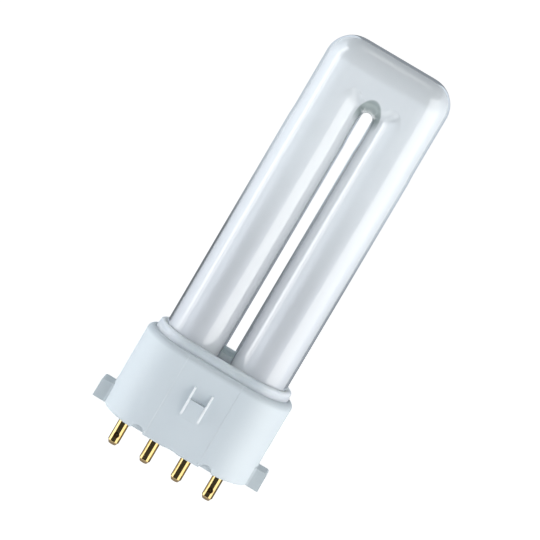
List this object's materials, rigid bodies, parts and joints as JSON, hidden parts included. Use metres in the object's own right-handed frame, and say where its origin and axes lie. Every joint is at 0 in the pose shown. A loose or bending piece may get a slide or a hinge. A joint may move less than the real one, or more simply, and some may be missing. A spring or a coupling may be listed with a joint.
{
  "type": "compact fluorescent bulb",
  "caption": "Plug-in compact fluorescent bulb: a white glass U tube with a squared bridge, in a moulded plastic cap with side lugs, snap latches and a row of contact pins.",
  "frame": {"origin": "middle of the cap's foot, where the lamp seats in its holder", "axes": "+Z from the cap to the tip of the glass, X along the row of pins, -Y towards the face with the front latch"},
  "size_m": [0.0368, 0.0214, 0.0925],
  "materials": {
    "coated_glass": "glossy glass with a white powder coating inside",
    "cap_plastic": "moulded, satin",
    "collar_plastic": "moulded, satin",
    "cement": "matt",
    "pin_metal": "polished",
    "lead_wire": "drawn"
  },
  "bodies": {
    "root": {"discharge_tube": "coated_glass", "cap_housing": "cap_plastic", "tube_collar": "collar_plastic", "cement_ring_1": "cement", "cement_ring_2": "cement", "contact_pin_1": "pin_metal", "contact_pin_2": "pin_metal", "contact_pin_3": "pin_metal", "contact_pin_4": "pin_metal", "lead_wire_1": "lead_wire", "lead_wire_2": "lead_wire", "lead_wire_3": "lead_wire", "lead_wire_4": "lead_wire"}
  },
  "joints": []
}
